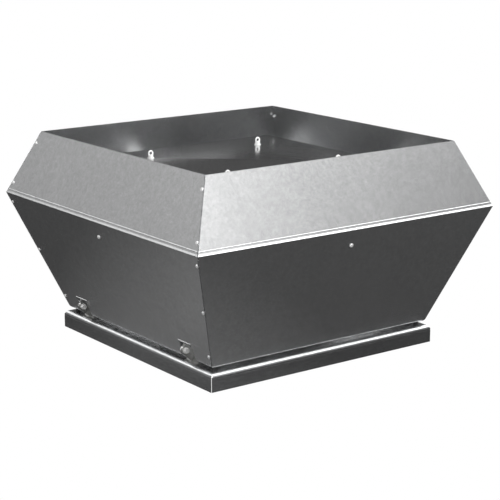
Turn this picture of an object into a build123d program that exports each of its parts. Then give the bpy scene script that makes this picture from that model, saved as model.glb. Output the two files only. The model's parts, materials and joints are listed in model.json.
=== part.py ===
from build123d import *
import os
from math import atan, atan2, cos, degrees, pi, radians, sin

# Square roof fan for a kitchen exhaust hood. The frame: +Z up, origin at the centre of the
# base's underside, hinges on the -X side. All sizes in millimetres.

# Driving dimensions ---------------------------------------------------------------------
SHEET = 2.0              # casing and base sheet thickness
BASE_WIDTH = 690.0       # square curb cap
BASE_HEIGHT = 45.0
BASE_EDGE_RADIUS = 12.0
DRAIN_GAP = 8.5          # open slot between the base and the casing
SKIRT_WIDTH = 665.0      # lower end of the casing
WAIST_WIDTH = 900.0      # widest place of the casing
WAIST_Z = 363.5
RIM_WIDTH = 756.0        # open top
RIM_Z = 527.0
FLARE_HEIGHT = 4.0       # upper panel's lower edge turns out over this height
FLARE = 0.8              # by this much
BEAD_RISE = 9.0          # stiffening bead, this far above the lower edge
BEAD = 1.2               # the bead's radius
WAIST_FLANGE = 16.0      # lower panel's top flange, inside the upper panel
ROLL_RADIUS = 11.0       # lower panel's bottom edge
BOTTOM_LIP = 22.0        # lower panel's bottom flange, bent in
CORNER_GAP = 3.5         # side panels stop short of the corner
CORNER_FLANGE = 25.0     # front and rear panels wrap the corner by this much

HINGE_Y = 241.0          # both hinges, either side of the middle
HINGE_X = -345.0
HINGE_Z = 78.0
CUTOUT_HALF = 25.0
CUTOUT_TOP = 98.0
LIP_RADIUS = 1.7         # curled upper edge of each cut-out

COMPARTMENT_WIDTH = 380.0
MOTOR_PLATE_Z = 250.0
COVER_WIDTH = 600.0
COVER_Z = 460.0          # top of the cover's edge
COVER_RISE = 7.0         # cross-broken towards the middle
STUD_OFFSET = 172.0      # cover studs from both centre lines
ARM_Z = 322.5
ARM_WIDTH = 44.0
ARM_HEIGHT = 30.0

INLET_RADIUS = 155.0     # throat of the inlet cone
INLET_TOP = 102.0
BELL_RADIUS = 50.0
IMPELLER_RADIUS = 225.0
BACKPLATE_Z = 222.0
SHROUD_GAP = 3.5         # radial, inlet cone to shroud
BLADES = 7
SHAFT_RADIUS = 9.5
RUNNING = 0.05           # radial clearance of a running fit

BOLT_SPACING = 535.0     # curb screws in the base top
BOLT_HOLE_RADIUS = 6.0
CONE_PCD = 466.0         # screws that hold the inlet cone
ADAPTER_PCD = 438.0      # free holes for a duct adapter, through base top and cone flange
ADAPTER_HOLES = 6
ADAPTER_HOLE_RADIUS = 4.5
RIVET_INSET = 8.5
LOWER_RIVETS_Z = (86.0, 211.0, 338.0)
UPPER_RIVETS_Z = (390.0, 497.0)

LOWER_Z = BASE_HEIGHT + DRAIN_GAP
LOWER_SLOPE = (WAIST_WIDTH - SKIRT_WIDTH) / 2 / (WAIST_Z - LOWER_Z)
UPPER_SLOPE = ((WAIST_WIDTH - RIM_WIDTH) / 2 - FLARE) / (RIM_Z - WAIST_Z)
FAR = 600.0              # beyond everything, for cutting tools

nodes = {}


def keep(name, shape):
    """Store the solids of one named piece."""
    nodes[name] = list(shape.solids())


def casing_half(z):
    """Half the outer width of the casing at height z."""
    if z < WAIST_Z:
        return SKIRT_WIDTH / 2 + LOWER_SLOPE * (z - LOWER_Z)
    return RIM_WIDTH / 2 + UPPER_SLOPE * (RIM_Z - z)


def turned(shape, quarter):
    return Rot(0, 0, 90 * quarter) * shape


def prism(points, low, high):
    """Polygon in X, Y, standing from low to high."""
    return Pos(0, 0, low) * extrude(make_face(Polyline(*points, close=True)), high - low)


def side_profile(points, half_length):
    """Polygon of (distance out, height), run along X on the -Y side."""
    outline = make_face(Plane.YZ * Polyline(*[(-d, z) for d, z in points], close=True))
    return extrude(outline, half_length, both=True)


def disc(radius, low, high, inner=0.0):
    ring = Pos(0, 0, low) * Cylinder(radius, high - low, align=(Align.CENTER, Align.CENTER, Align.MIN))
    if inner:
        ring -= Pos(0, 0, low - 1) * Cylinder(inner, high - low + 2,
                                              align=(Align.CENTER, Align.CENTER, Align.MIN))
    return ring


def hexagon(across_flats, low, high):
    return Pos(0, 0, low) * extrude(RegularPolygon(across_flats / 2, 6, major_radius=False), high - low)


def around(shape, count, radius, start=0.0):
    """Copies of a shape standing at the origin, spread on a circle."""
    step = 360 / count
    return [Rot(0, 0, start + step * i) * Pos(radius, 0, 0) * shape for i in range(count)]


def square_of(shape, offset):
    return [Pos(x * offset, y * offset, 0) * shape for x in (-1, 1) for y in (-1, 1)]


# Casing ---------------------------------------------------------------------------------
def wedge(gap):
    """The quarter of space that a -Y panel lies in, cut short of the corners by gap."""
    reach = FAR + gap
    return prism([(0, -gap), (-FAR, -reach), (FAR, -reach)], 0, FAR)


def sheet_profile(d0, z0, d1, z1, depth_in=0.0):
    """A sloping strip of sheet between two heights, its outer face on the given line."""
    slope = atan((d1 - d0) / (z1 - z0))
    near = depth_in / cos(slope)
    far = (depth_in + SHEET) / cos(slope)
    return [(d0 - near, z0), (d1 - near, z1), (d1 - far, z1), (d0 - far, z0)]


def lower_sheet(low=LOWER_Z, high=WAIST_Z, depth_in=0.0):
    return sheet_profile(SKIRT_WIDTH / 2 + LOWER_SLOPE * (low - LOWER_Z), low,
                         SKIRT_WIDTH / 2 + LOWER_SLOPE * (high - LOWER_Z), high, depth_in)


def upper_sheet(low=WAIST_Z, high=RIM_Z, depth_in=0.0):
    return sheet_profile(casing_half(RIM_Z) + UPPER_SLOPE * (RIM_Z - low), low,
                         casing_half(RIM_Z) + UPPER_SLOPE * (RIM_Z - high), high, depth_in)


def lower_shape():
    """Lower panel's section: the slope, the rolled bottom flange and the flange at the waist."""
    out = SKIRT_WIDTH / 2
    section = side_profile(lower_sheet(), FAR)
    section += side_profile([(out, LOWER_Z), (out - BOTTOM_LIP, LOWER_Z),
                             (out - BOTTOM_LIP, LOWER_Z + SHEET), (out, LOWER_Z + SHEET)], FAR)
    along = section.edges().filter_by(Axis.X)
    inner_edge = [e for e in along if abs(e.center().Z - LOWER_Z - SHEET) < 0.01 and e.center().Y < -out + 6]
    section = fillet(inner_edge, ROLL_RADIUS - SHEET)
    along = section.edges().filter_by(Axis.X)
    outer_edge = [e for e in along if abs(e.center().Z - LOWER_Z) < 0.01 and abs(e.center().Y + out) < 0.01]
    section = fillet(outer_edge, ROLL_RADIUS)
    return section + side_profile(upper_sheet(WAIST_Z - 2, WAIST_Z + WAIST_FLANGE, SHEET), FAR)


def upper_shape():
    """Upper panel's section: the slope, the flared lower edge and a half-round bead above it."""
    out = WAIST_WIDTH / 2
    flare_z = WAIST_Z + FLARE_HEIGHT
    slope = side_profile(upper_sheet(flare_z - 0.2), FAR)
    inner = SHEET / cos(atan(UPPER_SLOPE))
    flare = side_profile([(out, WAIST_Z), (casing_half(flare_z), flare_z),
                          (casing_half(flare_z) - inner, flare_z), (out - FLARE - inner + 0.01, WAIST_Z)], FAR)
    bead_z = WAIST_Z + BEAD_RISE
    bead = Pos(0, -casing_half(bead_z) + BEAD * 0.3, bead_z) * Rot(0, 90, 0) * Cylinder(BEAD, 2 * FAR)
    return slope + flare + bead


def corner_strip():
    """The band just inside a corner that a wrapped flange fills, on the -X, -Y corner."""
    back = 2 * SHEET
    return prism([(-FAR, -FAR - back), (-FAR, -FAR + CORNER_FLANGE), (-100, -100 + CORNER_FLANGE),
                  (-100, -100 - back)], 0, FAR)


def envelope(low, high):
    """The casing's solid outer shape between two heights."""
    a, b = casing_half(low), casing_half(high)
    return loft([Pos(0, 0, low) * Rectangle(2 * a, 2 * a), Pos(0, 0, high) * Rectangle(2 * b, 2 * b)])


def flange_pair(points, low, high):
    """Flanges that lie inside both neighbouring panels."""
    left = turned(side_profile(points, FAR), -1) & corner_strip() & envelope(low, high)
    return left + left.mirror(Plane.YZ)


def rivet_spots(heights):
    """Rivet centres on the -X panel: height, half width there and place along the panel."""
    return [(z, casing_half(z), sign * (casing_half(z) - RIVET_INSET)) for z in heights for sign in (-1, 1)]


def on_side(shape, z, along, slope):
    """Put a shape whose +Z points outwards on the -X panel's outer face."""
    lean = degrees(atan(slope))
    return Pos(-casing_half(z), along, z) * Rot(0, -90 - lean, 0) * shape


def side_slope(z):
    return LOWER_SLOPE if z < WAIST_Z else -UPPER_SLOPE


def both_sides(shapes):
    return Compound(children=shapes + [turned(s, 2) for s in shapes])


def rivet_tools(radius):
    """Rods through every corner rivet place, to drill the panels."""
    rod = Cylinder(radius, 40)
    spots = rivet_spots(LOWER_RIVETS_Z) + rivet_spots(UPPER_RIVETS_Z)
    return both_sides([on_side(rod, z, along, side_slope(z)) for z, _, along in spots])


def rivets(heights):
    head = disc(4.5, 0, 2.0)
    head = fillet(head.edges().sort_by(Axis.Z)[-1], 1.8)
    rivet = head + disc(2.3, -7, 0.5) + disc(3.4, -7.5, -4.05)
    return both_sides([on_side(rivet, z, along, side_slope(z)) for z, _, along in rivet_spots(heights)])


def hinge_cutouts():
    cut = Box(80, 2 * CUTOUT_HALF, CUTOUT_TOP - 20, align=(Align.CENTER, Align.CENTER, Align.MIN))
    return [Pos(HINGE_X + 20, side * HINGE_Y, 20) * cut for side in (-1, 1)]


def cutout_beads():
    """Curled edge round the top and the sides of both hinge cut-outs."""
    lift, high, foot = 0.4, CUTOUT_TOP + LIP_RADIUS, LOWER_Z + ROLL_RADIUS
    long = (high - foot) / cos(atan(LOWER_SLOPE))
    beads = []
    for side in (-1, 1):
        top = Rot(90, 0, 0) * Cylinder(LIP_RADIUS, 2 * CUTOUT_HALF + 3)
        beads.append(Pos(-casing_half(high) + lift, side * HINGE_Y, high) * top)
        upright = Rot(0, -degrees(atan(LOWER_SLOPE)), 0) * Cylinder(BEAD * 0.8, long)
        for edge in (-1, 1):
            middle = (foot + high) / 2
            beads.append(Pos(-casing_half(middle) + lift, side * HINGE_Y + edge * (CUTOUT_HALF + BEAD * 0.8), middle)
                         * upright)
    return beads


def panel_hole(z, radius):
    """A hole square to the -Y lower panel, on its middle line."""
    rod = Cylinder(radius, 40)
    return turned(on_side(rod, z, 0, LOWER_SLOPE), 1)


def casing():
    drill = rivet_tools(2.4)
    plain = (lower_shape() & wedge(CORNER_GAP)) - panel_hole(ARM_Z, 3.1)
    wrapped = (lower_shape() & wedge(0)) - panel_hole(ARM_Z, 3.1)
    wrapped += flange_pair(lower_sheet(depth_in=SHEET), LOWER_Z + 14, WAIST_Z - 10)
    left = turned(plain, -1) - drill
    for cut in hinge_cutouts():
        left -= cut
    for bead in cutout_beads():
        left += bead
    keep("lower_panel_left", left)
    keep("lower_panel_right", turned(plain, 1) - drill)
    keep("lower_panel_front", wrapped - drill)
    keep("lower_panel_rear", turned(wrapped, 2) - drill)

    plain = upper_shape() & wedge(CORNER_GAP)
    wrapped = (upper_shape() & wedge(0))
    wrapped += flange_pair(upper_sheet(depth_in=SHEET), WAIST_Z + WAIST_FLANGE + 1, RIM_Z)
    keep("upper_panel_left", turned(plain, -1) - drill)
    keep("upper_panel_right", turned(plain, 1) - drill)
    keep("upper_panel_front", wrapped - drill)
    keep("upper_panel_rear", turned(wrapped, 2) - drill)
    keep("lower_panel_rivets", rivets(LOWER_RIVETS_Z))
    keep("upper_panel_rivets", rivets(UPPER_RIVETS_Z))


# Base -----------------------------------------------------------------------------------
def base_frame():
    half = BASE_WIDTH / 2
    outer = Pos(0, 0, BASE_HEIGHT / 2) * Box(BASE_WIDTH, BASE_WIDTH, BASE_HEIGHT)
    outer = fillet(outer.edges().group_by(Axis.Z)[-1], BASE_EDGE_RADIUS)
    hollow = BASE_WIDTH - 2 * SHEET
    inner = Pos(0, 0, (BASE_HEIGHT - SHEET) / 2) * Box(hollow, hollow, BASE_HEIGHT - SHEET)
    inner = fillet(inner.edges().group_by(Axis.Z)[-1], BASE_EDGE_RADIUS - SHEET)
    body = outer - inner - disc(INLET_RADIUS + BELL_RADIUS, 0, FAR)
    for hole in square_of(disc(BOLT_HOLE_RADIUS, 0, FAR), BOLT_SPACING / 2):
        body -= hole
    for hole in cone_holes():
        body -= hole
    crease = 0.5
    groove_z = BASE_HEIGHT - 13
    ring = Box(BASE_WIDTH + 4, BASE_WIDTH + 4, 1.2) - Box(BASE_WIDTH - 2 * crease, BASE_WIDTH - 2 * crease, 2)
    body -= Pos(0, 0, groove_z) * ring
    for corner in range(4):
        slit = Pos(half, half, 0) * Rot(0, 0, 45) * Box(12, 1.6, 2 * (BASE_HEIGHT - 5))
        body -= turned(slit, corner)
        relief = Pos(half - 3, half - 3, BASE_HEIGHT - 7) * Rot(0, 55, 0) * Cylinder(2.4, 14)
        body -= turned(relief, corner)
    for side in (-1, 1):
        for y in BRACKET_SCREWS_Y:
            body -= Pos(BRACKET_SCREW_X, side * HINGE_Y + y, BASE_HEIGHT) * Cylinder(2.6, 20)
    keep("base_frame", body)


def cone_holes():
    """Holes shared by the base top and the cone's flange."""
    screws = around(disc(2.6, 0, FAR), 8, CONE_PCD / 2, 22.5)
    return screws + around(disc(ADAPTER_HOLE_RADIUS, 0, FAR), ADAPTER_HOLES, ADAPTER_PCD / 2)


def curb_seal():
    """Foam strip under the base top, inside the skirt."""
    outer, width, depth = BASE_WIDTH - 30, 22.0, 8.0
    strip = Box(outer, outer, depth) - Box(outer - 2 * width, outer - 2 * width, depth + 2)
    keep("curb_seal", Pos(0, 0, BASE_HEIGHT - SHEET - depth / 2) * strip)


def inlet_cone():
    """Bell-mouthed ring: flat flange, quarter-round mouth and short straight throat."""
    centre_r, centre_z = INLET_RADIUS + BELL_RADIUS + SHEET, BASE_HEIGHT + SHEET + BELL_RADIUS
    flange_r = 244.0
    r_out, r_in = BELL_RADIUS + SHEET, BELL_RADIUS
    s = sin(pi / 4)

    def xz(r, z):
        return (r, 0, z)

    path = [
        Line(xz(flange_r, BASE_HEIGHT), xz(centre_r, BASE_HEIGHT)),
        ThreePointArc(xz(centre_r, BASE_HEIGHT), xz(centre_r - r_out * s, centre_z - r_out * s),
                      xz(INLET_RADIUS, centre_z)),
        Line(xz(INLET_RADIUS, centre_z), xz(INLET_RADIUS, INLET_TOP)),
        Line(xz(INLET_RADIUS, INLET_TOP), xz(INLET_RADIUS + SHEET, INLET_TOP)),
        Line(xz(INLET_RADIUS + SHEET, INLET_TOP), xz(INLET_RADIUS + SHEET, centre_z)),
        ThreePointArc(xz(INLET_RADIUS + SHEET, centre_z), xz(centre_r - r_in * s, centre_z - r_in * s),
                      xz(centre_r, BASE_HEIGHT + SHEET)),
        Line(xz(centre_r, BASE_HEIGHT + SHEET), xz(flange_r, BASE_HEIGHT + SHEET)),
        Line(xz(flange_r, BASE_HEIGHT + SHEET), xz(flange_r, BASE_HEIGHT)),
    ]
    cone = revolve(make_face(path), Axis.Z)
    for hole in cone_holes():
        cone -= hole
    keep("inlet_cone", cone)
    top = BASE_HEIGHT + SHEET
    screw = fillet(disc(4.6, top, top + 2.6).edges().sort_by(Axis.Z)[-1], 1.4)
    screw += disc(2.5, BASE_HEIGHT - 12, top + 0.5)
    return around(screw, 8, CONE_PCD / 2, 22.5)


def support_pads():
    """Rubber buffers that carry the casing's bottom flange when the fan is shut."""
    pad = disc(6, BASE_HEIGHT, LOWER_Z - 0.3)
    pad = chamfer(pad.edges().sort_by(Axis.Z)[-1], 1.5)
    keep("support_pads", Compound(children=square_of(pad, SKIRT_WIDTH / 2 - 15)))


# Hinges ---------------------------------------------------------------------------------
EAR_THICK = 3.0
BASE_EAR = 1.4           # near face of the base bracket's ear, from the hinge centre
LEAF_EAR = 4.6           # near face of the casing leaf's ear
FOOT_OUT = -335.0
FOOT_IN = -294.0
BRACKET_SCREWS_Y = (-14.0, 14.0)
BRACKET_SCREW_X = -302.5
LEAF_LOW, LEAF_HIGH = 104.0, 152.0


def y_plate(points, low, high):
    """Plate in the X, Z plane from y low to y high."""
    outline = make_face(Polyline(*[(x, 0, z) for x, z in points], close=True))
    return Pos(0, low, 0) * extrude(outline, high - low, dir=(0, 1, 0))


def y_rod(x, z, radius, low, high):
    return Pos(x, (low + high) / 2, z) * Rot(90, 0, 0) * Cylinder(radius, high - low)


def base_bracket():
    """Foot plate, sloping web and one upright ear; the bolt hole fits the pivot bolt."""
    top = BASE_HEIGHT + EAR_THICK
    half = CUTOUT_HALF - 1
    bracket = Pos((FOOT_IN + FOOT_OUT) / 2, 0, BASE_HEIGHT + EAR_THICK / 2)
    bracket = bracket * Box(FOOT_IN - FOOT_OUT, 2 * half, EAR_THICK)
    bracket += y_plate([(FOOT_OUT + 6, top - 1), (FOOT_OUT + 22, 70), (FOOT_OUT + 25, 69), (FOOT_OUT + 10, top - 1)],
                       -half, half)
    ear = [(HINGE_X - 10, HINGE_Z - 6.6), (FOOT_OUT + 8, top - 1), (FOOT_OUT + 12, top - 1), (FOOT_OUT + 25, 69),
           (HINGE_X + 8.5, HINGE_Z + 8.4)]
    bracket += y_plate(ear, BASE_EAR, BASE_EAR + EAR_THICK)
    bracket += y_rod(HINGE_X, HINGE_Z, 12, BASE_EAR, BASE_EAR + EAR_THICK)
    bracket -= y_rod(HINGE_X, HINGE_Z, 4 + RUNNING, -30, 30)
    for y in BRACKET_SCREWS_Y:
        bracket -= Pos(BRACKET_SCREW_X, y, BASE_HEIGHT) * Cylinder(2.6, 20)
    return bracket


def casing_leaf():
    """Plate welded inside the left panel, with one ear down to the pivot."""
    skin = SHEET / cos(atan(LOWER_SLOPE))
    thick = EAR_THICK / cos(atan(LOWER_SLOPE))

    def inner(z):
        return -casing_half(z) + skin

    back = [(inner(LEAF_LOW), LEAF_LOW), (inner(LEAF_HIGH), LEAF_HIGH),
            (inner(LEAF_HIGH) + thick, LEAF_HIGH), (inner(LEAF_LOW) + thick, LEAF_LOW)]
    below = CUTOUT_TOP - 1
    ear = [(HINGE_X - 8, HINGE_Z + 5), (inner(below), below), (inner(LEAF_LOW), LEAF_LOW),
           (inner(LEAF_HIGH), LEAF_HIGH), (inner(LEAF_HIGH) + 8, LEAF_HIGH),
           (inner(LEAF_LOW) + 30, LEAF_LOW + 6), (HINGE_X + 9, HINGE_Z - 4)]
    leaf = y_plate(back, -30, 30) + y_plate(ear, LEAF_EAR, LEAF_EAR + EAR_THICK)
    leaf += y_rod(HINGE_X, HINGE_Z, 11, LEAF_EAR, LEAF_EAR + EAR_THICK)
    return leaf - y_rod(HINGE_X, HINGE_Z, 4 + RUNNING, -30, 30)


def pivot_bolt():
    """Hex bolt through both ears with its head to -Y, a washer at each side and a nut."""
    far = LEAF_EAR + EAR_THICK
    head = hexagon(13, 0.2, 5.5)
    bolt = chamfer(head.edges().group_by(Axis.Z)[-1], 0.8) + disc(4, -far - 12, 0.3)
    washer = disc(7.5, -BASE_EAR, 0.2, inner=4.02)
    far_washer = disc(7.5, -far - 1.6, -far, inner=4.02)
    nut = hexagon(13, -far - 8.4, -far - 1.6) - disc(4.02, -40, 40)
    return [Pos(HINGE_X, 0, HINGE_Z) * Rot(90, 0, 0) * s for s in (bolt, washer, far_washer, nut)]


def hinges():
    for name, side in (("front", -1), ("rear", 1)):
        keep("hinge_bracket_" + name, Pos(0, side * HINGE_Y, 0) * base_bracket())
        keep("hinge_leaf_" + name, Pos(0, side * HINGE_Y, 0) * casing_leaf())
    bolts = [Pos(0, side * HINGE_Y, 0) * s for side in (-1, 1) for s in pivot_bolt()]
    keep("hinge_pivot_bolts", Compound(children=bolts))
    top = BASE_HEIGHT + EAR_THICK
    screw = disc(4.8, top, top + 3.4) + disc(2.5, BASE_HEIGHT - 10, top + 1)
    return [Pos(BRACKET_SCREW_X, side * HINGE_Y + y, 0) * screw for side in (-1, 1) for y in BRACKET_SCREWS_Y]


# Motor compartment ----------------------------------------------------------------------
def motor_compartment():
    half = COMPARTMENT_WIDTH / 2
    top = MOTOR_PLATE_Z + SHEET
    plate = Pos(0, 0, MOTOR_PLATE_Z + SHEET / 2) * Box(COMPARTMENT_WIDTH, COMPARTMENT_WIDTH, SHEET)
    plate -= disc(30, 0, FAR)
    for hole in motor_holes() + square_of(disc(5.1, 0, FAR), STUD_OFFSET):
        plate -= hole
    keep("motor_plate", plate)

    wall_top = cover_underside(half)
    height = wall_top - top
    hollow = COMPARTMENT_WIDTH - 2 * SHEET
    wall = Pos(0, 0, top + height / 2) * (Box(COMPARTMENT_WIDTH, COMPARTMENT_WIDTH, height)
                                          - Box(hollow, hollow, height + 2))
    for quarter in range(4):
        for spot in arm_bolt_spots():
            wall -= turned(Pos(-half, 0, 0) * spot * Rot(0, 90, 0) * Cylinder(3.1, 20), quarter)
    keep("compartment_wall", wall)


def cover_underside(distance):
    """Height of the cover's lower face at a distance from the middle."""
    return COVER_Z - SHEET + COVER_RISE * (1 - distance / (COVER_WIDTH / 2))


def pyramid(low):
    """Four shallow facets that rise to the middle."""
    half = COVER_WIDTH / 2
    roof = make_face(Polyline((-half, 0, low), (half, 0, low), (0, 0, low + COVER_RISE), close=True))
    ridge = extrude(roof, half, both=True)
    return ridge & turned(ridge, 1)


EYE_RADIUS = 6.0
EYE_WIRE = 2.1
EYE_RISE = 13.0          # eye's centre over the washer's seat


def cover():
    slab = Pos(0, 0, COVER_Z - SHEET / 2) * Box(COVER_WIDTH, COVER_WIDTH, SHEET)
    plate = slab + pyramid(COVER_Z) - pyramid(COVER_Z - SHEET)
    for hole in square_of(disc(5.3, 0, FAR), STUD_OFFSET):
        plate -= hole
    keep("cover_plate", plate)

    seat = cover_underside(STUD_OFFSET) + SHEET + 0.25
    washer = disc(9, seat, seat + 1.5, inner=5.1)
    base = disc(6.5, seat + 1.5, seat + 7, inner=5.02) + disc(6.5, seat + 6.5, seat + 8.5)
    eye = Pos(0, 0, seat + EYE_RISE) * Rot(90, 0, 0) * Torus(EYE_RADIUS, EYE_WIRE)
    eye_nut = base + eye
    keep("cover_eye_nuts", Compound(children=[s for piece in (washer, eye_nut)
                                              for s in square_of(piece, STUD_OFFSET)]))
    plate_low, plate_top = MOTOR_PLATE_Z, MOTOR_PLATE_Z + SHEET
    stud = disc(5, plate_low - 9, seat + 4)
    nut = hexagon(17, plate_low - 8, plate_low) - disc(5.02, 0, FAR)
    upper_nut = hexagon(17, plate_top, plate_top + 8) - disc(5.02, 0, FAR)
    keep("cover_studs", Compound(children=square_of(stud, STUD_OFFSET)))
    keep("stud_nuts", Compound(children=[s for piece in (nut, upper_nut)
                                         for s in square_of(piece, STUD_OFFSET)]))


ARM_SHEET = 2.5


def arm_bolt_spots():
    return [Pos(0, y, ARM_Z - ARM_HEIGHT / 2 - 9) for y in (-14, 14)]


def support_arm():
    """Channel from the compartment wall to the -X panel, with a foot plate at each end."""
    half = COMPARTMENT_WIDTH / 2
    low, high = ARM_Z - ARM_HEIGHT / 2, ARM_Z + ARM_HEIGHT / 2
    reach = FAR - half
    channel = Box(reach, ARM_WIDTH, ARM_HEIGHT)
    hollow = Pos(0, 0, -ARM_SHEET) * Box(reach + 2, ARM_WIDTH - 2 * ARM_SHEET, ARM_HEIGHT)
    arm = Pos(-half - reach / 2, 0, ARM_Z) * (channel - hollow)
    skin = SHEET / cos(atan(LOWER_SLOPE))
    inside = [(0, low - 40), (casing_half(low - 40) - skin, low - 40),
              (casing_half(high + 16) - skin, high + 16), (0, high + 16)]
    core = turned(side_profile(inside, FAR), -1)
    arm = arm & core
    pad = on_side(Pos(0, 0, -SHEET - ARM_SHEET / 2) * Box(ARM_HEIGHT + 14, ARM_WIDTH, ARM_SHEET),
                  ARM_Z, 0, LOWER_SLOPE)
    foot_high = ARM_HEIGHT + 16
    foot = Pos(-half - ARM_SHEET / 2, 0, high - foot_high / 2) * Box(ARM_SHEET, ARM_WIDTH, foot_high)
    arm = arm + pad + foot
    arm -= on_side(Cylinder(3.1, 60), ARM_Z, 0, LOWER_SLOPE)
    for spot in arm_bolt_spots():
        arm -= Pos(-half, 0, 0) * spot * Rot(0, 90, 0) * Cylinder(3.1, 20)
    return arm


def arms():
    names = ("left", "front", "right", "rear")
    arm = support_arm()
    for quarter, name in enumerate(names):
        keep("support_arm_" + name, turned(arm, quarter))
    half = COMPARTMENT_WIDTH / 2
    bolt = hexagon(10, 0, 4) + disc(3, -8, 0.5)
    nut = hexagon(10, -9.5, -4.55) - disc(3.02, -20, 10)
    wall_bolt = [Pos(-half - ARM_SHEET, 0, 0) * spot * Rot(0, -90, 0) * piece
                 for spot in arm_bolt_spots() for piece in (bolt, nut)]
    keep("arm_bolts", Compound(children=[turned(b, q) for q in range(4) for b in wall_bolt]))
    head = fillet(disc(5, 0, 2.4).edges().sort_by(Axis.Z)[-1], 1.8)
    screw = head + disc(3, -12, 0.5)
    screw_nut = hexagon(10, -9.6, -4.6) - disc(3.02, -20, 10)
    ends = [on_side(piece, ARM_Z, 0, LOWER_SLOPE) for piece in (screw, screw_nut)]
    keep("panel_screws", Compound(children=[turned(e, q) for q in range(4) for e in ends]))


# Motor ----------------------------------------------------------------------------------
FLANGE_Z = MOTOR_PLATE_Z + SHEET
BODY_Z = FLANGE_Z + 14
BODY_TOP = BODY_Z + 128
SHIELD_TOP = BODY_TOP + 12
HOUSING_RADIUS = 62.0
FIN_RADIUS = 70.0
BORE_RADIUS = 55.0
CORE_RADIUS = 34.0
FLANGE_RADIUS = 100.0
MOTOR_PCD = 165.0
BEARING_RADIUS = 20.0
BEARING_HIGH = 12.0


def motor_holes():
    return around(disc(5.5, 0, FAR), 4, MOTOR_PCD / 2, 45)


def motor():
    housing = disc(HOUSING_RADIUS, BODY_Z, BODY_TOP, inner=BORE_RADIUS)
    fin = Box(12, 2.4, BODY_TOP - BODY_Z - 12)
    for fin_copy in around(fin, 32, (HOUSING_RADIUS + FIN_RADIUS) / 2 - 2):
        housing += Pos(0, 0, (BODY_Z + BODY_TOP) / 2) * fin_copy
    pad = Pos(FIN_RADIUS - 8, 0, BODY_Z + 62) * Box(20, 70, 70)
    housing += pad - disc(HOUSING_RADIUS - 1, 0, FAR)
    keep("motor_housing", housing)
    keep("stator_core", disc(BORE_RADIUS, BODY_Z + 26, BODY_TOP - 26, inner=CORE_RADIUS + 1))

    seat_low = FLANGE_Z + 4
    drive = disc(FLANGE_RADIUS, FLANGE_Z, FLANGE_Z + 9) + disc(HOUSING_RADIUS, FLANGE_Z + 8, BODY_Z)
    drive += disc(30, FLANGE_Z + 8, seat_low + BEARING_HIGH + 3)
    drive -= disc(BEARING_RADIUS, seat_low, FAR) + disc(SHAFT_RADIUS + 2, 0, FAR)
    for hole in motor_holes():
        drive -= hole
    keep("drive_end_shield", drive)

    seat_top = SHIELD_TOP - 3
    far = disc(HOUSING_RADIUS, BODY_TOP, SHIELD_TOP) + disc(30, seat_top - BEARING_HIGH - 3, BODY_TOP + 1)
    far -= disc(BEARING_RADIUS, 0, seat_top) + disc(SHAFT_RADIUS + 2, 0, FAR)
    keep("fan_end_shield", far)
    race = (SHAFT_RADIUS + RUNNING)
    keep("lower_bearing", disc(BEARING_RADIUS, seat_low, seat_low + BEARING_HIGH, inner=race))
    keep("upper_bearing", disc(BEARING_RADIUS, seat_top - BEARING_HIGH, seat_top, inner=race))

    bolt = hexagon(17, FLANGE_Z + 9, FLANGE_Z + 15.4) + disc(5, MOTOR_PLATE_Z - 11, FLANGE_Z + 10)
    nut = hexagon(17, MOTOR_PLATE_Z - 8, MOTOR_PLATE_Z) - disc(5.02, 0, FAR)
    pieces = [copy for piece in (bolt, nut) for copy in around(piece, 4, MOTOR_PCD / 2, 45)]
    keep("motor_bolts", Compound(children=pieces))
    terminal_box()
    fan_cowl()


def terminal_box():
    x0 = FIN_RADIUS + 2
    z_mid = BODY_Z + 62
    outer = Pos(x0 + 17, 0, z_mid) * Box(34, 92, 82)
    outer = fillet(outer.edges().filter_by(Axis.X), 6)
    box = outer - Pos(x0 + 20, 0, z_mid) * Box(34, 82, 72)
    box -= Pos(x0 + 19, -46, z_mid) * Rot(90, 0, 0) * Cylinder(8, 30)
    keep("terminal_box", box)
    lid = Pos(x0 + 37, 0, z_mid) * Box(6, 92, 82)
    lid = fillet(lid.edges().filter_by(Axis.X), 6)
    lid = chamfer(lid.faces().sort_by(Axis.X)[-1].edges(), 1.5)
    keep("terminal_box_lid", lid)
    gland = disc(7.9, -8, 1, inner=5) + (hexagon(22, 0, 8) - disc(5, -10, 60)) + disc(10, 7, 20, inner=5)
    keep("cable_gland", Pos(x0 + 19, -46, z_mid) * Rot(90, 0, 0) * gland)


COWL_TOP = SHIELD_TOP + 34


def fan_cowl():
    wall = 1.5
    shell = disc(FIN_RADIUS + 2.5, BODY_TOP - 14, COWL_TOP)
    shell = fillet(shell.edges().group_by(Axis.Z)[-1], 10)
    hollow = disc(FIN_RADIUS + 2.5 - wall, 0, COWL_TOP - wall)
    hollow = fillet(hollow.edges().group_by(Axis.Z)[-1], 8.5)
    shell -= hollow
    for ring, count in ((18, 8), (32, 14), (46, 20)):
        for slot in around(Cylinder(3.4, 20), count, ring):
            shell -= Pos(0, 0, COWL_TOP) * slot
    keep("fan_cowl", shell)


# Rotor ----------------------------------------------------------------------------------
HUB_LOW = BACKPLATE_Z - 42
HUB_RADIUS = 30.0
HUB_SCREW_RADIUS = 46.0
SHROUD_RADIUS = INLET_RADIUS + SHEET + SHROUD_GAP     # shroud's inner radius at its mouth
SHROUD_LOW = 98.0
SHROUD_SHEET = 2.0
SHROUD_BEND = 16.0
SHROUD_RISE = 20.0       # degrees
BLADE_THICK = 2.5
BLADE_INNER = 150.0


def shroud_point(bend, angle):
    """Point on a bend about the shroud's bend centre, as radius and height."""
    centre_r = SHROUD_RADIUS + SHROUD_SHEET + SHROUD_BEND
    return centre_r - bend * cos(radians(angle)), SHROUD_LOW + 6 + bend * sin(radians(angle))


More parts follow.
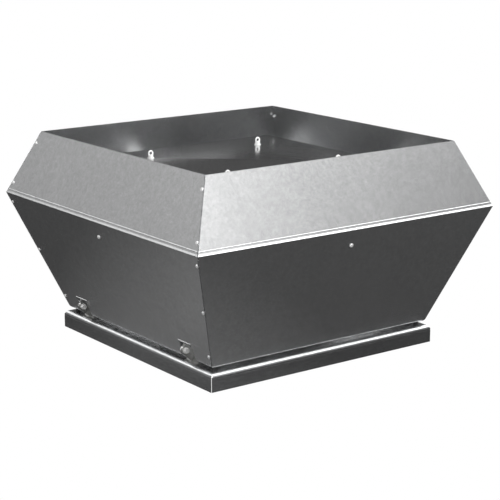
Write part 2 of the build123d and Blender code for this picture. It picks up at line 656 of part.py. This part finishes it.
def shroud_line(bend):
    """Mouth, bend and cone of one face of the shroud, from the mouth to the rim."""
    r1, z1 = shroud_point(bend, 90 - SHROUD_RISE)
    rise = (IMPELLER_RADIUS - r1) * sin(radians(SHROUD_RISE)) / cos(radians(SHROUD_RISE))
    start = shroud_point(bend, 0)
    middle = shroud_point(bend, (90 - SHROUD_RISE) / 2)
    return start, middle, (r1, z1), (IMPELLER_RADIUS, z1 + rise)


def shroud_face(line, close_z):
    """Face between a shroud line and the level close_z, for turning about Z."""
    start, middle, end, rim = line
    p = [(start[0], 0, close_z), (start[0], 0, start[1]), (middle[0], 0, middle[1]), (end[0], 0, end[1]),
         (rim[0], 0, rim[1]), (rim[0], 0, close_z)]
    return make_face([Line(p[0], p[1]), ThreePointArc(p[1], p[2], p[3]), Line(p[3], p[4]),
                      Line(p[4], p[5]), Line(p[5], p[0])])


def shroud():
    outer = shroud_line(SHROUD_BEND + SHROUD_SHEET)
    inner = shroud_line(SHROUD_BEND)
    under = revolve(shroud_face(inner, SHROUD_LOW - 1), Axis.Z)
    return revolve(shroud_face(outer, SHROUD_LOW), Axis.Z) - under


def blade():
    """Backward-curved blade: a thin arc in plan, cut to the shroud and the back plate."""
    bend = 190.0
    inner = Vector(BLADE_INNER, 0)
    outer = Vector(IMPELLER_RADIUS - 3, 0).rotate(Axis.Z, 44)
    chord = outer - inner
    middle = (inner + outer) * 0.5
    half = chord.length / 2
    normal = Vector(chord.Y, -chord.X).normalized()
    centre = middle - normal * (bend ** 2 - half ** 2) ** 0.5
    low, high = 90.0, BACKPLATE_Z
    ring = Pos(centre.X, centre.Y, 0) * disc(bend, low, high, inner=bend - BLADE_THICK)
    reach = 2.2 * half
    window = Pos(middle.X, middle.Y, (low + high) / 2) * Rot(0, 0, degrees(atan2(chord.Y, chord.X)))
    strip = ring & (window * Box(2 * half, reach, high - low))
    cap = revolve(shroud_face(shroud_line(SHROUD_BEND + SHROUD_SHEET), 0), Axis.Z)
    return (strip - cap) - disc(SHROUD_RADIUS + SHROUD_SHEET + 0.5, 0, SHROUD_LOW + 6)


def impeller():
    plate = disc(IMPELLER_RADIUS, BACKPLATE_Z, BACKPLATE_Z + 3, inner=HUB_RADIUS)
    for hole in around(disc(3.1, 0, FAR), 6, HUB_SCREW_RADIUS):
        plate -= hole
    keep("impeller_back_plate", plate)
    keep("impeller_shroud", shroud())
    one = blade()
    for i in range(BLADES):
        keep("impeller_blade_%d" % (i + 1), Rot(0, 0, 360 / BLADES * i) * one)

    hub = disc(HUB_RADIUS, HUB_LOW, BACKPLATE_Z + 6) + disc(58, BACKPLATE_Z - 5, BACKPLATE_Z)
    hub = hub - disc(SHAFT_RADIUS + 0.02, 0, FAR)
    for hole in around(disc(3.1, 0, FAR), 6, HUB_SCREW_RADIUS):
        hub -= hole
    keyway = Pos(SHAFT_RADIUS, 0, (HUB_LOW + BACKPLATE_Z + 6) / 2) * Box(5.2, 5.04, 80)
    keep("impeller_hub", hub - keyway)
    bolt = hexagon(10, BACKPLATE_Z + 3, BACKPLATE_Z + 7) + disc(3, BACKPLATE_Z - 14, BACKPLATE_Z + 4)
    nut = hexagon(10, BACKPLATE_Z - 10, BACKPLATE_Z - 5) - disc(3.02, 0, FAR)
    keep("hub_bolts", Compound(children=around(bolt, 6, HUB_SCREW_RADIUS) + around(nut, 6, HUB_SCREW_RADIUS)))


def rotor():
    low = HUB_LOW + 2
    shaft = disc(SHAFT_RADIUS, low, SHIELD_TOP + 26) - disc(4, 0, low + 22)
    key_low, key_high = HUB_LOW + 4, BACKPLATE_Z + 4
    shaft -= Pos(SHAFT_RADIUS, 0, (key_low + key_high) / 2) * Box(5.0, 5.0, key_high - key_low)
    keep("motor_shaft", shaft)
    keep("shaft_key", Pos(SHAFT_RADIUS, 0, (key_low + key_high) / 2) * Box(5.0, 5.0, key_high - key_low))
    keep("rotor_core", disc(CORE_RADIUS, BODY_Z + 24, BODY_TOP - 24, inner=SHAFT_RADIUS + 0.04))
    cap = disc(20, HUB_LOW - 4, HUB_LOW, inner=4.02)
    screw = hexagon(13, HUB_LOW - 9.3, HUB_LOW - 4) + disc(4, HUB_LOW - 4.5, HUB_LOW + 20)
    keep("impeller_retaining_screw", Compound(children=[cap, screw]))
    fan_low = SHIELD_TOP + 6
    fan = disc(17, fan_low, fan_low + 18, inner=SHAFT_RADIUS + 0.04) + disc(60, fan_low, fan_low + 2, inner=16)
    for vane in around(Box(44, 2, 16), 8, 38):
        fan += Pos(0, 0, fan_low + 9) * vane
    keep("cooling_fan", fan)


def write():
    os.makedirs("parts", exist_ok=True)
    for name, solids in nodes.items():
        shape = solids[0] if len(solids) == 1 else Compound(children=solids)
        export_step(shape, os.path.join("parts", name + ".step"))
    print(len(nodes), "nodes", sum(len(s) for s in nodes.values()), "solids")


casing()
base_frame()
curb_seal()
keep("base_screws", Compound(children=inlet_cone() + hinges()))
support_pads()
motor_compartment()
cover()
arms()
motor()
impeller()
rotor()
write()
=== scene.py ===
import json
import math

import bpy
from mathutils import Matrix, Vector

# A kitchen exhaust roof fan in galvanised sheet, on a white sweep under soft studio light.

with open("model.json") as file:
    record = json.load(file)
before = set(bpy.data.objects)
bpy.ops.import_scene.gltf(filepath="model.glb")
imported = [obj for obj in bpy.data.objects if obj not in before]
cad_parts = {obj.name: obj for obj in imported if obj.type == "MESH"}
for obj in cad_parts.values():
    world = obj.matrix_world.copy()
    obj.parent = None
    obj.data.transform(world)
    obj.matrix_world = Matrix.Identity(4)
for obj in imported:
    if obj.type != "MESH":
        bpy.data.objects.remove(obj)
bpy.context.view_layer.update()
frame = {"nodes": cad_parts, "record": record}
nodes = frame["nodes"]


# Camera -----------------------------------------------------------------------------------
CAMERA_PLACE = Vector((-2.3049, -3.1843, 1.1823))
CAMERA_LOOK = Vector((0.57292, 0.78483, -0.23623))
CAMERA_RIGHT = Vector((0.80726, -0.59018, -0.00293))
CAMERA_LENS = 111.92


def make_camera():
    data = bpy.data.cameras.new("camera")
    data.lens, data.sensor_width = CAMERA_LENS, 36.0
    camera = bpy.data.objects.new("camera", data)
    bpy.context.scene.collection.objects.link(camera)
    back = -CAMERA_LOOK.normalized()
    right = CAMERA_RIGHT.normalized()
    up = back.cross(right)
    turn = Matrix((right, up, back)).transposed()
    camera.matrix_world = Matrix.Translation(CAMERA_PLACE) @ turn.to_4x4()
    bpy.context.scene.camera = camera


# Materials --------------------------------------------------------------------------------
EDGE_RADIUS = 0.0005


class Shader:
    """A principled material whose colour, roughness and bump come from object-space noise."""

    def __init__(self, name, color, rough, metal=1.0, coat=0.0):
        self.material = bpy.data.materials.new(name)
        self.material.use_nodes = True
        self.tree = self.material.node_tree
        self.surface = self.tree.nodes["Principled BSDF"]
        self.color = color
        self.surface.inputs["Base Color"].default_value = (*color, 1)
        self.surface.inputs["Roughness"].default_value = rough
        self.surface.inputs["Metallic"].default_value = metal
        if coat:
            self.surface.inputs["Coat Weight"].default_value = coat
            self.surface.inputs["Coat Roughness"].default_value = 0.15
        self.place = self.node("ShaderNodeTexCoord").outputs["Object"]

    def node(self, kind, **values):
        made = self.tree.nodes.new(kind)
        for key, value in values.items():
            setattr(made, key, value)
        return made

    def link(self, a, b):
        self.tree.links.new(a, b)

    def noise(self, scale, detail=3.0, rough=0.55, stretch=(1, 1, 1)):
        """Noise from 0 to 1 with features of about 1 / scale metres."""
        place = self.node("ShaderNodeMapping")
        place.inputs["Scale"].default_value = stretch
        self.link(self.place, place.inputs["Vector"])
        made = self.node("ShaderNodeTexNoise")
        made.inputs["Scale"].default_value = scale
        made.inputs["Detail"].default_value = detail
        made.inputs["Roughness"].default_value = rough
        self.link(place.outputs["Vector"], made.inputs["Vector"])
        return made.outputs["Fac"]

    def cells(self, scale):
        """Random grey per cell, like zinc spangle."""
        made = self.node("ShaderNodeTexVoronoi", feature="F1")
        made.inputs["Scale"].default_value = scale
        self.link(self.place, made.inputs["Vector"])
        grey = self.node("ShaderNodeSeparateColor")
        self.link(made.outputs["Color"], grey.inputs["Color"])
        return grey.outputs["Red"]

    def spread(self, value, low, high, from_low=0.3, from_high=0.7):
        made = self.node("ShaderNodeMapRange")
        ranges = {"From Min": from_low, "From Max": from_high, "To Min": low, "To Max": high}
        for key, number in ranges.items():
            made.inputs[key].default_value = number
        self.link(value, made.inputs["Value"])
        return made.outputs["Result"]

    def math(self, operation, a, b):
        made = self.node("ShaderNodeMath", operation=operation)
        for slot, value in enumerate((a, b)):
            if isinstance(value, (int, float)):
                made.inputs[slot].default_value = value
            else:
                self.link(value, made.inputs[slot])
        return made.outputs["Value"]

    def tint(self, *factors):
        """Base colour times the product of the factors."""
        total = factors[0]
        for factor in factors[1:]:
            total = self.math("MULTIPLY", total, factor)
        made = self.node("ShaderNodeVectorMath", operation="SCALE")
        made.inputs[0].default_value = self.color
        self.link(total, made.inputs["Scale"])
        self.link(made.outputs["Vector"], self.surface.inputs["Base Color"])

    def roughness(self, value):
        self.link(value, self.surface.inputs["Roughness"])

    def bump(self, value, depth):
        """Adds relief, depth in metres."""
        made = self.node("ShaderNodeBump")
        made.inputs["Distance"].default_value = depth
        self.link(value, made.inputs["Height"])
        self.link(made.outputs["Normal"], self.surface.inputs["Normal"])


def galvanised(name, color, rough, streak=(1, 1, 1), streaks=0.04, metal=0.94):
    """Zinc-coated sheet: fine spangle, cloudy patches and a faint roll grain."""
    grain = 0.035
    s = Shader(name, color, rough, metal)
    spangle = s.spread(s.cells(330), 1 - grain, 1 + grain, 0, 1)
    cloud = s.spread(s.noise(7, detail=4), 1 - grain * 0.7, 1 + grain * 0.7)
    fine = s.spread(s.noise(120, detail=4, rough=0.7), 1 - grain * 1.3, 1 + grain * 1.3)
    drawn = s.spread(s.noise(60, stretch=streak), 1 - streaks, 1 + streaks)
    s.tint(spangle, cloud, fine, drawn)
    return s.material


def bright_metal(name, color, rough, metal=1.0):
    s = Shader(name, color, rough, metal)
    s.tint(s.spread(s.noise(130), 0.9, 1.06))
    s.roughness(s.spread(s.noise(300), rough - 0.06, rough + 0.08))
    s.bump(s.noise(900, detail=2.0), 0.00002)
    return s.material


def rough_cast(name, color, rough=0.55, metal=0.0, coat=0.3):
    s = Shader(name, color, rough, metal, coat)
    s.tint(s.spread(s.noise(40, detail=6), 0.85, 1.12))
    s.roughness(s.spread(s.noise(70), rough - 0.08, rough + 0.08))
    s.bump(s.noise(900, detail=3), 0.00012)
    return s.material


def soft_black(name, color, rough, pores=1500):
    s = Shader(name, color, rough, metal=0.0)
    s.tint(s.spread(s.noise(60), 0.8, 1.25))
    s.roughness(s.spread(s.noise(45), rough - 0.08, rough + 0.08))
    s.bump(s.cells(pores), 0.0002)
    return s.material


def make_materials():
    grey = (0.77, 0.775, 0.78)
    return {
        "casing_sheet": galvanised("casing_sheet", grey, 0.27),
        "base_sheet": galvanised("base_sheet", (0.43, 0.435, 0.44), 0.24, (1, 1, 14), 0.2),
        "cover_sheet": galvanised("cover_sheet", (0.66, 0.66, 0.665), 0.14, metal=0.97),
        "inner_sheet": galvanised("inner_sheet", grey, 0.32),
        "inlet_sheet": galvanised("inlet_sheet", (0.68, 0.68, 0.69), 0.22),
        "impeller_sheet": galvanised("impeller_sheet", (0.58, 0.585, 0.59), 0.3),
        "hinge_steel": galvanised("hinge_steel", (0.52, 0.52, 0.51), 0.28),
        # Fasteners and rivets: light zinc, made near-white and mostly diffuse so that the colour
        # also paints in the highlights that whiten the heads from every side.
        "zinc_fasteners": bright_metal("zinc_fasteners", (0.98, 0.98, 0.97), 0.36, metal=0.2),
        "rivets": bright_metal("rivets", (0.97, 0.97, 0.97), 0.34, metal=0.3),
        "bearing_steel": bright_metal("bearing_steel", (0.68, 0.68, 0.68), 0.14),
        "core_steel": galvanised("core_steel", (0.3, 0.3, 0.31), 0.4, (1, 1, 40), 0.3),
        "cast_hub": rough_cast("cast_hub", (0.34, 0.34, 0.35), 0.42, metal=0.9, coat=0.0),
        "motor_paint": rough_cast("motor_paint", (0.09, 0.12, 0.17)),
        "cowl_paint": rough_cast("cowl_paint", (0.09, 0.12, 0.17), 0.42),
        "black_plastic": soft_black("black_plastic", (0.02, 0.02, 0.022), 0.45),
        "rubber": soft_black("rubber", (0.02, 0.02, 0.02), 0.7),
        "seal_foam": soft_black("seal_foam", (0.03, 0.03, 0.03), 0.85, pores=700),
    }


def dress_nodes():
    """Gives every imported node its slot's material, and rounds the sheet edges a little."""
    made = make_materials()
    edged = ("casing_sheet", "cover_sheet", "hinge_steel")
    slots = {row["node"]: row["material_slot"] for row in frame["record"]["subparts"]}
    for name, node in nodes.items():
        node.data.materials.clear()
        node.data.materials.append(made[slots[name]])
        if slots[name] in edged:
            round_off = node.modifiers.new("edges", "BEVEL")
            round_off.width, round_off.segments = EDGE_RADIUS, 2
            round_off.limit_method, round_off.angle_limit = "ANGLE", math.radians(50)


# Studio -----------------------------------------------------------------------------------
# Height on the sky from straight down, 0, to straight up, 1, and the level there.
WORLD_STOPS = (
    (0.0, 0.09), (0.15, 0.062), (0.42, 0.045), (0.52, 0.04),
    (0.60, 0.05), (0.72, 0.15), (0.83, 0.8), (1.0, 0.38),
)
# Soft boxes painted on the sky: azimuth and elevation in degrees, full and outer radius, level.
SOFT_BOXES = (
    (-82, 28, 17, 32, 1.3),
    (-18, 55, 18, 31, 3.4),
    (106, 36, 8, 19, 2.2),
    (131, 18, 12, 40, 0.32),
)
# Name, place, side in metres and power in watts.
LIGHTS = (
    ("key", (-0.3, -3.6, 2.2), 0.6, 52),
    ("fill", (-3.3, -0.9, 0.9), 0.5, 34),
    ("top", (0.3, 0.4, 3.4), 2.2, 5),
)
LIGHT_TARGET = (0, 0, 0.3)
FLOOR_HALF = 14.0
# The floor that the metal sees: middle of its painted pool of light, the pool's radius, and two
# levels.
LIT_POOL_MIDDLE = (-0.62, -0.12, 0)
LIT_POOL_RADIUS = 0.76
LIT_POOL_LEVEL, FLOOR_LEVEL = 0.18, 0.042


def direction(azimuth, elevation):
    a, e = math.radians(azimuth), math.radians(elevation)
    return (math.cos(e) * math.cos(a), math.cos(e) * math.sin(a), math.sin(e))


def make_world():
    """White to the camera; to the metal, a dim studio with a few large soft boxes."""
    world = bpy.data.worlds.new("studio")
    bpy.context.scene.world = world
    world.use_nodes = True
    tree = world.node_tree
    tree.nodes.clear()

    def node(kind, **values):
        made = tree.nodes.new(kind)
        for key, value in values.items():
            setattr(made, key, value)
        return made

    def link(a, b):
        tree.links.new(a, b)

    place = node("ShaderNodeTexCoord").outputs["Generated"]
    split = node("ShaderNodeSeparateXYZ")
    link(place, split.inputs["Vector"])
    lift = node("ShaderNodeMapRange")
    lift.inputs["From Min"].default_value = -1
    lift.inputs["From Max"].default_value = 1
    link(split.outputs["Z"], lift.inputs["Value"])
    ramp = node("ShaderNodeValToRGB")
    link(lift.outputs["Result"], ramp.inputs["Fac"])
    for i, (at, level) in enumerate(WORLD_STOPS):
        stop = ramp.color_ramp.elements[i] if i < 2 else ramp.color_ramp.elements.new(at)
        stop.position = at
        stop.color = (level, level, level, 1)
    total = ramp.outputs["Color"]
    for azimuth, elevation, full, outer, level in SOFT_BOXES:
        facing = node("ShaderNodeVectorMath", operation="DOT_PRODUCT")
        facing.inputs[1].default_value = direction(azimuth, elevation)
        link(place, facing.inputs[0])
        box = node("ShaderNodeMapRange", interpolation_type="SMOOTHSTEP")
        box.inputs["From Min"].default_value = math.cos(math.radians(outer))
        box.inputs["From Max"].default_value = math.cos(math.radians(full))
        box.inputs["To Max"].default_value = level
        link(facing.outputs["Value"], box.inputs["Value"])
        added = node("ShaderNodeMath", operation="ADD")
        link(total, added.inputs[0])
        link(box.outputs["Result"], added.inputs[1])
        total = added.outputs["Value"]
    studio = node("ShaderNodeBackground")
    link(total, studio.inputs["Color"])
    white = node("ShaderNodeBackground")
    white.inputs["Color"].default_value = (1, 1, 1, 1)
    white.inputs["Strength"].default_value = 1.0
    mix = node("ShaderNodeMixShader")
    link(node("ShaderNodeLightPath").outputs["Is Camera Ray"], mix.inputs["Fac"])
    link(studio.outputs["Background"], mix.inputs[1])
    link(white.outputs["Background"], mix.inputs[2])
    link(mix.outputs["Shader"], node("ShaderNodeOutputWorld").inputs["Surface"])


def soft_light(name, place, size, power):
    data = bpy.data.lights.new(name, "AREA")
    data.shape, data.size, data.energy = "SQUARE", size, power
    light = bpy.data.objects.new(name, data)
    bpy.context.scene.collection.objects.link(light)
    light.location = place
    light.rotation_mode = "QUATERNION"
    light.rotation_quaternion = (Vector(LIGHT_TARGET) - Vector(place)).to_track_quat("-Z", "Y")


def make_floor():
    """White paper to the camera; in the metal it shows as a dim floor with a painted pool of light
    by the hinge side.
    """
    mesh = bpy.data.meshes.new("floor")
    low, high = -FLOOR_HALF, FLOOR_HALF
    corners = [(low, low, 0), (high, low, 0), (high, high, 0), (low, high, 0)]
    mesh.from_pydata(corners, [], [(0, 1, 2, 3)])
    floor = bpy.data.objects.new("floor", mesh)
    bpy.context.scene.collection.objects.link(floor)
    s = Shader("floor_paint", (0.5, 0.5, 0.5), 0.9, metal=0.0)
    apart = s.node("ShaderNodeVectorMath", operation="DISTANCE")
    apart.inputs[1].default_value = LIT_POOL_MIDDLE
    s.link(s.place, apart.inputs[0])
    distance = apart.outputs["Value"]
    # Painted pool of light: the emission fades from the pool's level at its middle to the floor
    # level at its radius.
    dim = s.spread(distance, LIT_POOL_LEVEL, FLOOR_LEVEL, 0.0, LIT_POOL_RADIUS)
    seen = s.node("ShaderNodeLightPath").outputs["Is Camera Ray"]
    level = s.node("ShaderNodeMix", data_type="FLOAT")
    s.link(seen, level.inputs[0])
    s.link(dim, level.inputs[2])
    level.inputs[3].default_value = 1.0
    s.surface.inputs["Base Color"].default_value = (0, 0, 0, 1)
    s.surface.inputs["Specular IOR Level"].default_value = 0
    s.surface.inputs["Emission Color"].default_value = (1, 1, 1, 1)
    s.link(level.outputs[0], s.surface.inputs["Emission Strength"])
    mesh.materials.append(s.material)
    floor.visible_diffuse = False


def make_studio():
    bpy.context.scene.view_settings.view_transform = "Standard"
    make_world()
    make_floor()
    for light in LIGHTS:
        soft_light(*light)


make_camera()
dress_nodes()
make_studio()
